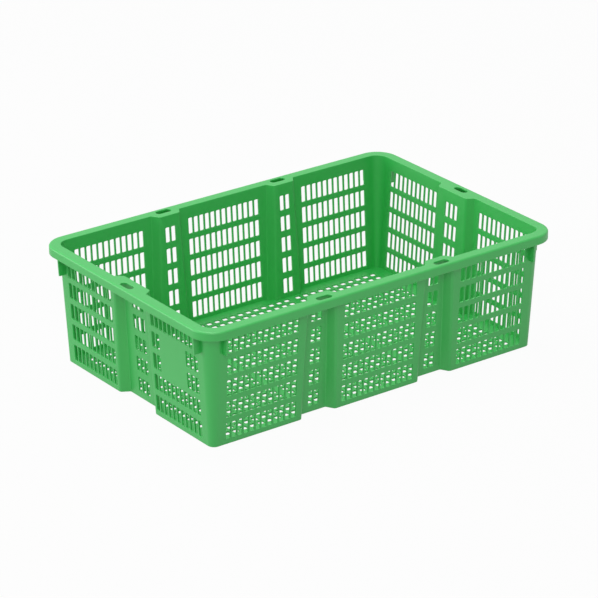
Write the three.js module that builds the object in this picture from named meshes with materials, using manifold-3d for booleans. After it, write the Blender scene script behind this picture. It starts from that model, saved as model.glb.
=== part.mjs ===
// Vegetable basket: an open-top ventilated crate moulded in one piece of green polypropylene.
// Each moulded region (rail, corner, post, panel, bay, rib, label plate, floor) is its own solid,
// and neighbouring regions meet face to face.
// Millimetres, +Z up. The origin is on the ground under the middle of the floor, +X runs along the
// long side and -Y is the front.

import * as THREE from 'three';
import { mergeVertices } from 'three/addons/utils/BufferGeometryUtils.js';
import Module from 'manifold-3d';

const wasm = await Module();
wasm.setup();

// Overall sizes
const LENGTH = 500;
const WIDTH = 334;
const HEIGHT = 148;

// Rim: a flat flange with a down-turned skirt
const RIM_CORNER_RADIUS = 28.5;
const RIM_WIDTH = 13.8;
const RIM_THICKNESS = 2.2;
const RIM_EDGE_RADIUS = 2.5;
const SKIRT_DEPTH = 11;
const SKIRT_THICKNESS = 2;

// Round-ended slots through the rim, one over each bay
const RIM_SLOT_LENGTH = 20.5;
const RIM_SLOT_WIDTH = 8.5;
const RIM_SLOT_INSET = 9.7;

// Walls: thickness, and how far they lean out for each millimetre of height
const WALL = 2;
const DRAFT = 0.0575;

// Slot rows, counted from the floor up
const SLOT_ROWS = 5;
const FOOT_BAND = 6.4;
const HEAD_BAND = 13.2;
const ROW_BAR = 6.6;

// Slot columns: bars between slots, and the plain margin at both ends of a panel
const COLUMN_BAR = 2.05;
const LONG_MARGIN = 5.9;
const SHORT_MARGIN = 1.6;
const LONG_MIDDLE_COLUMNS = 13;
const LONG_END_COLUMNS = 12;
const SHORT_COLUMNS = 11;

// Bays: columns of wall set inwards, deeper and wider at the floor than at the rim
const LONG_BAY_CENTRE = 83.4;
const LONG_BAY_FACE = 25.6;
const SHORT_BAY_FACE = 49.4;
const BAY_FLANK_RUN = 6;
const BAY_SPREAD = 4.8;
const BAY_DEPTH_TOP = 9.5;
const BAY_DEPTH_BASE = 10.5;
const BAY_BEND_RADIUS = 2;
const BAY_SHOULDER = 1.6;
const BAY_SLOT_WIDTH = 6;
const BAY_SLOT_BAR = 2.2;
const BAY_SLOT_LIFT = 1.5;
const BAY_SLOT_TRIM = 1.2;
const LONG_BAY_COLUMNS = 2;
const SHORT_BAY_COLUMNS = 3;

// Corner posts: the flat arms that run from the corner's rounding to the panels
const LONG_POST_ARM = 4;
const SHORT_POST_ARM = 7.9;

// Ribs under the rim beside each corner
const RIB_THICKNESS = 2.2;
const RIB_REACH = 8.3;
const RIB_DROP = 34;
const RIB_INSET = 3.2;
const RIB_CLEARANCE = 0.02;

// Bare label plate, in place of a block of slots on the left wall's front panel
const LABEL_FIRST_COLUMN = 2;
const LABEL_COLUMNS = 6;
const LABEL_FIRST_ROW = 2;
const LABEL_ROWS = 2;

// Floor: rows of openings between bars, with one wide bar in line with each pair of long bays
const FLOOR_THICKNESS = 2;
const FLOOR_BAR = 3.8;
const FLOOR_WIDE_BAR = 9.4;
const FLOOR_ROWS = 24;
const FLOOR_MIDDLE_RUNS = 2;
const FLOOR_END_RUNS = 1;
const FLOOR_END_MARGIN = 6.3;
const FLOOR_SIDE_MARGIN = 3.2;

// Facets
const CORNER_STEPS = 8;
const EDGE_STEPS = 4;
const BEND_STEPS = 3;
const SLOT_END_STEPS = 8;
const WELD_DISTANCE = 1e-4;
const CUT_OVERRUN = 1;

const MOULDING_COLOUR = 0x49a862;
const MOULDING_ROUGHNESS = 0.48;

// Worked-out heights and offsets. An offset is measured outwards from the corner axes, the
// vertical lines that every corner is rounded about.
const RIM_UNDERSIDE = HEIGHT - RIM_THICKNESS;
const WALL_HEIGHT = RIM_UNDERSIDE - FLOOR_THICKNESS;
const AXIS_X = LENGTH / 2 - RIM_CORNER_RADIUS;
const AXIS_Y = WIDTH / 2 - RIM_CORNER_RADIUS;
const RIM_INNER_OFFSET = RIM_CORNER_RADIUS - RIM_WIDTH;
const SLOT_HEIGHT =
  (RIM_UNDERSIDE - HEAD_BAND - FOOT_BAND - (SLOT_ROWS - 1) * ROW_BAR) / SLOT_ROWS;

const UP = new THREE.Vector3(0, 0, 1);

const wallOffset = (z) => RIM_INNER_OFFSET + WALL - DRAFT * (RIM_UNDERSIDE - z);
const rowBottom = (row) => FOOT_BAND + row * (SLOT_HEIGHT + ROW_BAR);

// A side is one of the four walls: a direction along it, anticlockwise seen from above, a direction
// out of it, the distance from the middle of the basket to its corner axes, and half its straight.
const direction = (x, y) => new THREE.Vector3(x, y, 0);
const longBays = [-LONG_BAY_CENTRE, LONG_BAY_CENTRE];
const SIDES = {
  front: {
    along: direction(1, 0),
    outward: direction(0, -1),
    axis: AXIS_Y,
    straight: AXIS_X,
    postArm: LONG_POST_ARM,
    margin: LONG_MARGIN,
    bayFace: LONG_BAY_FACE,
    bayColumns: LONG_BAY_COLUMNS,
    bayCentres: longBays,
    bayNames: ['front_bay_left', 'front_bay_right'],
    panelColumns: [LONG_END_COLUMNS, LONG_MIDDLE_COLUMNS, LONG_END_COLUMNS],
    panelNames: ['front_panel_left', 'front_panel_middle', 'front_panel_right'],
    ribNames: ['front_rib_left', 'front_rib_right'],
  },
  right: {
    along: direction(0, 1),
    outward: direction(1, 0),
    axis: AXIS_X,
    straight: AXIS_Y,
    postArm: SHORT_POST_ARM,
    margin: SHORT_MARGIN,
    bayFace: SHORT_BAY_FACE,
    bayColumns: SHORT_BAY_COLUMNS,
    bayCentres: [0],
    bayNames: ['right_bay'],
    panelColumns: [SHORT_COLUMNS, SHORT_COLUMNS],
    panelNames: ['right_panel_front', 'right_panel_back'],
    ribNames: ['right_rib_front', 'right_rib_back'],
  },
  back: {
    along: direction(-1, 0),
    outward: direction(0, 1),
    axis: AXIS_Y,
    straight: AXIS_X,
    postArm: LONG_POST_ARM,
    margin: LONG_MARGIN,
    bayFace: LONG_BAY_FACE,
    bayColumns: LONG_BAY_COLUMNS,
    bayCentres: longBays,
    bayNames: ['back_bay_right', 'back_bay_left'],
    panelColumns: [LONG_END_COLUMNS, LONG_MIDDLE_COLUMNS, LONG_END_COLUMNS],
    panelNames: ['back_panel_right', 'back_panel_middle', 'back_panel_left'],
    ribNames: ['back_rib_right', 'back_rib_left'],
  },
  left: {
    along: direction(0, -1),
    outward: direction(-1, 0),
    axis: AXIS_X,
    straight: AXIS_Y,
    postArm: SHORT_POST_ARM,
    margin: SHORT_MARGIN,
    bayFace: SHORT_BAY_FACE,
    bayColumns: SHORT_BAY_COLUMNS,
    bayCentres: [0],
    bayNames: ['left_bay'],
    panelColumns: [SHORT_COLUMNS, SHORT_COLUMNS],
    panelNames: ['left_panel_back', 'left_panel_front'],
    labelPanel: 'left_panel_front',
    ribNames: ['left_rib_back', 'left_rib_front'],
  },
};

// A point given by its place along a side, its offset from the corner axes and its height.
function sidePoint(side, along, offset, z) {
  return new THREE.Vector3()
    .addScaledVector(side.along, along)
    .addScaledVector(side.outward, side.axis + offset)
    .addScaledVector(UP, z);
}

// Closed bodies

function weld(geometry) {
  const bare = new THREE.BufferGeometry();
  bare.setAttribute('position', geometry.getAttribute('position').clone());
  if (geometry.index) bare.setIndex(geometry.index.clone());
  return mergeVertices(bare, WELD_DISTANCE);
}

function signedVolume(geometry) {
  const position = geometry.getAttribute('position');
  const index = geometry.index;
  const corner = [new THREE.Vector3(), new THREE.Vector3(), new THREE.Vector3()];
  let sum = 0;
  for (let i = 0; i < index.count; i += 3) {
    corner.forEach((point, k) => point.fromBufferAttribute(position, index.getX(i + k)));
    sum += corner[0].dot(corner[1].cross(corner[2]));
  }
  return sum / 6;
}

// Turns a mirrored body the right way round, so that its faces point out.
function faceOut(geometry) {
  if (signedVolume(geometry) < 0) {
    const turned = Array.from(geometry.index.array).reverse();
    geometry.setIndex(turned);
  }
  return geometry;
}

// Skins a row of anticlockwise outlines, one per station, and closes both ends. place puts an
// outline's point at its station in space.
function loft(outlines, place) {
  const count = outlines[0].length;
  const last = outlines.length - 1;
  const points = outlines.flatMap((outline, station) => outline.map((point) => place(point, station)));
  const triangles = [];
  for (let station = 0; station < last; station += 1) {
    for (let i = 0; i < count; i += 1) {
      const a = station * count + i;
      const b = station * count + ((i + 1) % count);
      triangles.push(a, b, b + count, a, b + count, a + count);
    }
  }
  const start = THREE.ShapeUtils.triangulateShape(outlines[0], []);
  const end = THREE.ShapeUtils.triangulateShape(outlines[last], []);
  start.forEach(([a, b, c]) => triangles.push(c, b, a));
  end.forEach((face) => triangles.push(...face.map((i) => i + last * count)));
  const geometry = new THREE.BufferGeometry().setFromPoints(points);
  geometry.setIndex(triangles);
  return faceOut(weld(geometry));
}

function toManifold(geometry) {
  return new wasm.Manifold(new wasm.Mesh({
    numProp: 3,
    vertProperties: new Float32Array(geometry.getAttribute('position').array),
    triVerts: new Uint32Array(geometry.index.array),
  }));
}

function fromManifold(manifold) {
  const mesh = manifold.getMesh();
  const geometry = new THREE.BufferGeometry();
  geometry.setAttribute('position', new THREE.BufferAttribute(mesh.vertProperties, mesh.numProp));
  geometry.setIndex(new THREE.BufferAttribute(mesh.triVerts, 1));
  return geometry;
}

// Joins the additions to a body, then cuts the tools out of it.
function joinAndCut(body, additions, tools) {
  let manifold = toManifold(body);
  additions.forEach((addition) => { manifold = manifold.add(toManifold(addition)); });
  tools.forEach((tool) => { manifold = manifold.subtract(toManifold(tool)); });
  return fromManifold(manifold);
}

function rectangle(left, bottom, right, top) {
  return [
    new THREE.Vector2(left, bottom),
    new THREE.Vector2(right, bottom),
    new THREE.Vector2(right, top),
    new THREE.Vector2(left, top),
  ];
}

// A flat plate standing on the plane of its outline, with openings cut right through it.
function flatPlate(outline, thickness, openings) {
  const prism = (shape, low, high) =>
    loft([shape, shape], (p, end) => new THREE.Vector3(p.x, p.y, end === 0 ? low : high));
  const cutters = openings.map((shape) => prism(shape, -CUT_OVERRUN, thickness + CUT_OVERRUN));
  return joinAndCut(prism(outline, 0, thickness), [], cutters);
}

function arcPoints(centreX, centreY, radius, fromAngle, toAngle, steps) {
  return Array.from({ length: steps + 1 }, (_, step) => {
    const angle = fromAngle + ((toAngle - fromAngle) * step) / steps;
    return new THREE.Vector2(
      centreX + radius * Math.cos(angle),
      centreY + radius * Math.sin(angle),
    );
  });
}

// Rounds the inner corners of an open run of points, each to its own radius.
function roundRun(points, radii) {
  const rounded = radii.flatMap((radius, i) => {
    const corner = points[i + 1];
    const back = points[i].clone().sub(corner).normalize();
    const on = points[i + 2].clone().sub(corner).normalize();
    const half = Math.acos(back.dot(on)) / 2;
    const towards = back.clone().add(on).normalize();
    const centre = corner.clone().addScaledVector(towards, radius / Math.sin(half));
    const start = corner.clone().addScaledVector(back, radius / Math.tan(half)).sub(centre).angle();
    const turn = Math.sign(back.cross(on)) * (Math.PI - 2 * half);
    return arcPoints(centre.x, centre.y, radius, start, start - turn, BEND_STEPS);
  });
  return [points[0], ...rounded, points[points.length - 1]];
}

// Bays

// The bay's sizes at a height: half widths of its mouth and face seen from outside, its depth, and
// how much wider its inner skin is on each side.
function baySizes(side, z) {
  const drop = (RIM_UNDERSIDE - z) / WALL_HEIGHT;
  const face = side.bayFace / 2 + BAY_SPREAD * drop;
  const depth = BAY_DEPTH_TOP + (BAY_DEPTH_BASE - BAY_DEPTH_TOP) * drop;
  const flank = Math.hypot(BAY_FLANK_RUN, depth);
  const skin = (WALL * (flank - BAY_FLANK_RUN)) / depth;
  return { face, mouth: face + BAY_FLANK_RUN, depth, skin };
}

// Half the length of wall that a bay's solid takes up.
function bayHalfSpan(side) {
  const base = baySizes(side, FLOOR_THICKNESS);
  return base.mouth + base.skin + BAY_SHOULDER;
}

// Plan of one skin of a bay's wall, as (along, offset) about the bay's middle.
function baySkin(half, mouth, face, wall, depth, mouthRadius, faceRadius) {
  const run = [
    new THREE.Vector2(-half, wall),
    new THREE.Vector2(-mouth, wall),
    new THREE.Vector2(-face, wall - depth),
    new THREE.Vector2(face, wall - depth),
    new THREE.Vector2(mouth, wall),
    new THREE.Vector2(half, wall),
  ];
  return roundRun(run, [mouthRadius, faceRadius, faceRadius, mouthRadius]);
}

// Both skins of a bay's wall at a height, bent about common centres.
function baySkins(side, z) {
  const { face, mouth, depth, skin } = baySizes(side, z);
  const half = bayHalfSpan(side);
  const wall = wallOffset(z);
  const near = BAY_BEND_RADIUS;
  const far = BAY_BEND_RADIUS + WALL;
  return {
    outer: baySkin(half, mouth, face, wall, depth, far, near),
    inner: baySkin(half, mouth + skin, face + skin, wall - WALL, depth, near, far),
  };
}

function bayOutline(side, z) {
  const { outer, inner } = baySkins(side, z);
  return [...inner, ...outer.reverse()];
}

// Box-shaped cutters for the slots in a bay's face.
function baySlotCutters(side, centre) {
  const cutters = [];
  const pitch = BAY_SLOT_WIDTH + BAY_SLOT_BAR;
  for (let row = 0; row < SLOT_ROWS; row += 1) {
    const low = rowBottom(row) + BAY_SLOT_LIFT;
    const high = low + SLOT_HEIGHT - BAY_SLOT_TRIM;
    const innermost = wallOffset(low) - baySizes(side, low).depth - WALL - CUT_OVERRUN;
    const outermost = wallOffset(high) - baySizes(side, high).depth + CUT_OVERRUN;
    for (let column = 0; column < side.bayColumns; column += 1) {
      const middle = centre + (column - (side.bayColumns - 1) / 2) * pitch;
      const outline = rectangle(
        middle - BAY_SLOT_WIDTH / 2, low, middle + BAY_SLOT_WIDTH / 2, high,
      );
      const reach = [innermost, outermost];
      cutters.push(loft([outline, outline], (p, end) => sidePoint(side, p.x, reach[end], p.y)));
    }
  }
  return cutters;
}

function bayGeometry(side, centre) {
  const levels = [FLOOR_THICKNESS, RIM_UNDERSIDE];
  const outlines = levels.map((z) => bayOutline(side, z));
  const wall = loft(outlines, (p, end) => sidePoint(side, centre + p.x, p.y, levels[end]));
  return joinAndCut(wall, [], baySlotCutters(side, centre));
}

// Slotted panels

// The stretches of wall between bays and corner posts, from one end of the side to the other.
function panelSpans(side) {
  const half = bayHalfSpan(side);
  const end = side.straight - side.postArm;
  const starts = [-end, ...side.bayCentres.map((centre) => centre + half)];
  const stops = [...side.bayCentres.map((centre) => centre - half), end];
  return starts.map((from, i) => ({ from, to: stops[i] }));
}

// Left and right edges of each slot column in a panel.
function slotColumns(side, span, columns) {
  const first = span.from + side.margin;
  const room = span.to - side.margin - first;
  const width = (room - (columns - 1) * COLUMN_BAR) / columns;
  return Array.from({ length: columns }, (_, column) => {
    const left = first + column * (width + COLUMN_BAR);
    return { left, right: left + width };
  });
}

// Outline of the block of slots that the label plate takes the place of.
function labelBlock(columns) {
  const { left } = columns[LABEL_FIRST_COLUMN];
  const { right } = columns[LABEL_FIRST_COLUMN + LABEL_COLUMNS - 1];
  const bottom = rowBottom(LABEL_FIRST_ROW);
  const top = rowBottom(LABEL_FIRST_ROW + LABEL_ROWS - 1) + SLOT_HEIGHT;
  return rectangle(left, bottom, right, top);
}

function inLabelBlock(column, row) {
  const pastColumn = column - LABEL_FIRST_COLUMN;
  const pastRow = row - LABEL_FIRST_ROW;
  return pastColumn >= 0 && pastColumn < LABEL_COLUMNS && pastRow >= 0 && pastRow < LABEL_ROWS;
}

// A plate of wall, drawn as (along, height) and set up at the wall's lean.
function leaningPlate(side, outline, openings) {
  const plate = flatPlate(outline, WALL, openings);
  const lean = UP.clone().addScaledVector(side.outward, DRAFT);
  const place = new THREE.Matrix4().makeBasis(side.along, lean, side.outward);
  place.setPosition(side.outward.clone().multiplyScalar(side.axis + wallOffset(0) - WALL));
  return plate.applyMatrix4(place);
}

function panelGeometry(side, span, columns, hasLabel) {
  const openings = hasLabel ? [labelBlock(columns)] : [];
  columns.forEach(({ left, right }, column) => {
    for (let row = 0; row < SLOT_ROWS; row += 1) {
      if (hasLabel && inLabelBlock(column, row)) continue;
      const bottom = rowBottom(row);
      openings.push(rectangle(left, bottom, right, bottom + SLOT_HEIGHT));
    }
  });
  const outline = rectangle(span.from, FLOOR_THICKNESS, span.to, RIM_UNDERSIDE);
  return leaningPlate(side, outline, openings);
}

function labelGeometry(side, columns) {
  return leaningPlate(side, labelBlock(columns), []);
}

// Corner posts

// Plan of a corner post at a height, in the quadrant where both coordinates are positive.
function postOutline(z) {
  const outer = wallOffset(z);
  const inner = outer - WALL;
  const longEnd = AXIS_X - LONG_POST_ARM;
  const shortEnd = AXIS_Y - SHORT_POST_ARM;
  return [
    new THREE.Vector2(AXIS_X + outer, shortEnd),
    ...arcPoints(AXIS_X, AXIS_Y, outer, 0, Math.PI / 2, CORNER_STEPS),
    new THREE.Vector2(longEnd, AXIS_Y + outer),
    new THREE.Vector2(longEnd, AXIS_Y + inner),
    ...arcPoints(AXIS_X, AXIS_Y, inner, Math.PI / 2, 0, CORNER_STEPS),
    new THREE.Vector2(AXIS_X + inner, shortEnd),
  ];
}

function postGeometry(signX, signY) {
  const levels = [FLOOR_THICKNESS, RIM_UNDERSIDE];
  const place = (p, end) => new THREE.Vector3(signX * p.x, signY * p.y, levels[end]);
  return loft(levels.map(postOutline), place);
}

// Rim

// Section of the rim as (offset, height): flange, rounded outer edge and skirt.
function rimSection() {
  const outer = RIM_CORNER_RADIUS;
  const foot = HEIGHT - SKIRT_DEPTH;
  const edge = arcPoints(
    outer - RIM_EDGE_RADIUS, HEIGHT - RIM_EDGE_RADIUS, RIM_EDGE_RADIUS, 0, Math.PI / 2, EDGE_STEPS,
  );
  return [
    new THREE.Vector2(RIM_INNER_OFFSET, RIM_UNDERSIDE),
    new THREE.Vector2(outer - SKIRT_THICKNESS, RIM_UNDERSIDE),
    new THREE.Vector2(outer - SKIRT_THICKNESS, foot),
    new THREE.Vector2(outer, foot),
    ...edge,
    new THREE.Vector2(RIM_INNER_OFFSET, HEIGHT),
  ];
}

// The pad that carries the rim over a bay, flush with the bay's inner skin.
function rimPad(side, centre) {
  const edge = baySkins(side, RIM_UNDERSIDE).inner.slice(1, -1);
  const root = RIM_INNER_OFFSET + WALL;
  const outline = [
    new THREE.Vector2(edge[0].x, root),
    ...edge,
    new THREE.Vector2(edge[edge.length - 1].x, root),
  ];
  const levels = [RIM_UNDERSIDE, HEIGHT];
  return loft([outline, outline], (p, end) => sidePoint(side, centre + p.x, p.y, levels[end]));
}

function rimSlotCutter(side, centre) {
  const middle = RIM_CORNER_RADIUS - RIM_SLOT_INSET;
  const radius = RIM_SLOT_WIDTH / 2;
  const reach = RIM_SLOT_LENGTH / 2 - radius;
  const quarter = Math.PI / 2;
  const outline = [
    ...arcPoints(centre + reach, middle, radius, -quarter, quarter, SLOT_END_STEPS),
    ...arcPoints(centre - reach, middle, radius, quarter, 3 * quarter, SLOT_END_STEPS),
  ];
  const levels = [RIM_UNDERSIDE - CUT_OVERRUN, HEIGHT + CUT_OVERRUN];
  return loft([outline, outline], (p, end) => sidePoint(side, p.x, p.y, levels[end]));
}

function railGeometry(side) {
  const ends = [-side.straight, side.straight];
  const section = rimSection();
  const rail = loft([section, section], (p, end) => sidePoint(side, ends[end], p.x, p.y));
  const pads = side.bayCentres.map((centre) => rimPad(side, centre));
  const slots = side.bayCentres.map((centre) => rimSlotCutter(side, centre));
  return joinAndCut(rail, pads, slots);
}

function rimCornerGeometry(signX, signY) {
  const outlines = Array.from({ length: CORNER_STEPS + 1 }, rimSection);
  return loft(outlines, (p, station) => {
    const angle = ((Math.PI / 2) * station) / CORNER_STEPS;
    return new THREE.Vector3(
      signX * (AXIS_X + p.x * Math.cos(angle)),
      signY * (AXIS_Y + p.x * Math.sin(angle)),
      p.y,
    );
  });
}

// Ribs

function ribGeometry(side, sign) {
  const foot = HEIGHT - RIB_DROP;
  const outline = [foot, RIM_UNDERSIDE].flatMap((z, end) => {
    const root = new THREE.Vector2(wallOffset(z) + RIB_CLEARANCE, z);
    const tip = new THREE.Vector2(wallOffset(z) + RIB_REACH, z);
    return end === 0 ? [root, tip] : [tip, root];
  });
  const middle = sign * (side.straight - RIB_INSET);
  const faces = [middle - RIB_THICKNESS / 2, middle + RIB_THICKNESS / 2];
  return loft([outline, outline], (p, end) => sidePoint(side, faces[end], p.x, p.y));
}

// Floor

// The basket's footprint: rounded corners, and a notch under every bay.
function floorOutline() {
  const offset = wallOffset(FLOOR_THICKNESS);
  return Object.values(SIDES).flatMap((side) => {
    const notch = baySkins(side, FLOOR_THICKNESS).outer.slice(1, -1);
    const notches = side.bayCentres.flatMap((centre) =>
      notch.map((p) => sidePoint(side, centre + p.x, p.y, 0)));
    const corner = arcPoints(0, 0, offset, Math.PI / 2, 0, CORNER_STEPS).map((p) =>
      sidePoint(side, side.straight + p.x, p.y, 0));
    return [...notches, ...corner].map((point) => new THREE.Vector2(point.x, point.y));
  });
}

// Splits a stretch into equal openings with a bar between neighbours.
function splitRun(from, to, count) {
  const width = (to - from - (count - 1) * FLOOR_BAR) / count;
  return Array.from({ length: count }, (_, i) => {
    const start = from + i * (width + FLOOR_BAR);
    return { start, stop: start + width };
  });
}

// Distance from the middle of the basket to the inner skin of a side's bays, at the floor.
function bayReach(side) {
  const { depth } = baySizes(side, FLOOR_THICKNESS);
  return side.axis + wallOffset(FLOOR_THICKNESS) - depth - WALL;
}

function floorGeometry() {
  const endX = bayReach(SIDES.right) - FLOOR_END_MARGIN;
  const endY = bayReach(SIDES.front) - FLOOR_SIDE_MARGIN;
  const innerEdge = LONG_BAY_CENTRE - FLOOR_WIDE_BAR / 2;
  const outerEdge = LONG_BAY_CENTRE + FLOOR_WIDE_BAR / 2;
  const runs = [
    ...splitRun(-endX, -outerEdge, FLOOR_END_RUNS),
    ...splitRun(-innerEdge, innerEdge, FLOOR_MIDDLE_RUNS),
    ...splitRun(outerEdge, endX, FLOOR_END_RUNS),
  ];
  const openings = splitRun(-endY, endY, FLOOR_ROWS).flatMap((row) =>
    runs.map((run) => rectangle(run.start, row.start, run.stop, row.stop)));
  return flatPlate(floorOutline(), FLOOR_THICKNESS, openings);
}

// Assembly

const basket = new THREE.Group();

function addRegion(name, geometry) {
  const material = new THREE.MeshStandardMaterial({
    color: MOULDING_COLOUR,
    roughness: MOULDING_ROUGHNESS,
    metalness: 0,
  });
  const mesh = new THREE.Mesh(geometry, material);
  mesh.name = name;
  basket.add(mesh);
}

addRegion('floor', floorGeometry());

Object.entries(SIDES).forEach(([sideName, side]) => {
  addRegion(`${sideName}_rail`, railGeometry(side));
  side.bayNames.forEach((name, i) => addRegion(name, bayGeometry(side, side.bayCentres[i])));
  panelSpans(side).forEach((span, i) => {
    const name = side.panelNames[i];
    const columns = slotColumns(side, span, side.panelColumns[i]);
    const hasLabel = name === side.labelPanel;
    addRegion(name, panelGeometry(side, span, columns, hasLabel));
    if (hasLabel) addRegion('label_plate', labelGeometry(side, columns));
  });
  side.ribNames.forEach((name, i) => addRegion(name, ribGeometry(side, i === 0 ? -1 : 1)));
});

[['front', -1], ['back', 1]].forEach(([depthName, signY]) => {
  [['left', -1], ['right', 1]].forEach(([handName, signX]) => {
    addRegion(`${depthName}_${handName}_post`, postGeometry(signX, signY));
    addRegion(`${depthName}_${handName}_rim_corner`, rimCornerGeometry(signX, signY));
  });
});

export default basket;
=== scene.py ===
"""Looks of an open-top vegetable basket moulded in green plastic.

The basket is one moulding, so its walls, corner posts, ribs, rim and floor are modelled here with
soft edges, every hole and no seam between them. All sizes are in metres, in the frame of the
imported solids, which these pieces stand for.
"""

import logging
import math
from dataclasses import dataclass, field
from enum import Enum
from typing import Any, Callable, Sequence

import bmesh
import bpy
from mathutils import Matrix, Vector


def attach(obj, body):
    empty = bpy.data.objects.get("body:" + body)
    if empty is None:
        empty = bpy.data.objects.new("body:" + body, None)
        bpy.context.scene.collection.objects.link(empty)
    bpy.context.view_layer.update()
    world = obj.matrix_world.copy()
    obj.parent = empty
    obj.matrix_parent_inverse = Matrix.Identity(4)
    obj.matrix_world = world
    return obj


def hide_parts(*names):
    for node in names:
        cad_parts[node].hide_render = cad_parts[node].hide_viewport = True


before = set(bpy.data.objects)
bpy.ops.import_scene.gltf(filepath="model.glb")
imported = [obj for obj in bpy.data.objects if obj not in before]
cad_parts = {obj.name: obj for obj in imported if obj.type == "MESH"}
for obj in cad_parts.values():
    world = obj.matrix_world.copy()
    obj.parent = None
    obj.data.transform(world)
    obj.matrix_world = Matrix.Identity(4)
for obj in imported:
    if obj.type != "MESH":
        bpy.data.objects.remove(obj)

LOG = logging.getLogger("basket")
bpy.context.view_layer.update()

MM = 0.001
BODY = "root"

ALONG = Vector((1, 0, 0))
ACROSS = Vector((0, 1, 0))
UP = Vector((0, 0, 1))
QUARTER = math.pi / 2

NEAR = 0.02 * MM
CUT_SNAP = 0.001 * MM
SHARP_EDGE = math.radians(60)
SMOOTH_LIMIT = math.radians(50)
FLAT_FACE_WEIGHT = 100

# How much of a direction has to lie along an axis to count as running along it
MOSTLY = 0.9

# A stretch between two places, and several of them
Span = tuple[float, float]
Spans = Sequence[Span]


class Pick(Enum):
    """What a selection in edit mode is made of."""

    POINT = "VERT"
    EDGE = "EDGE"
    FACE = "FACE"


class Side(Enum):
    """The four sides, by how far the front wall is turned about the upright axis to get there."""

    FRONT = 0.0
    RIGHT = QUARTER
    BACK = 2 * QUARTER
    LEFT = 3 * QUARTER


def clear_selection() -> None:
    """Leaves edit mode and deselects every object."""
    if bpy.context.mode != "OBJECT":
        bpy.ops.object.mode_set(mode="OBJECT")
    bpy.ops.object.select_all(action="DESELECT")


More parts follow.
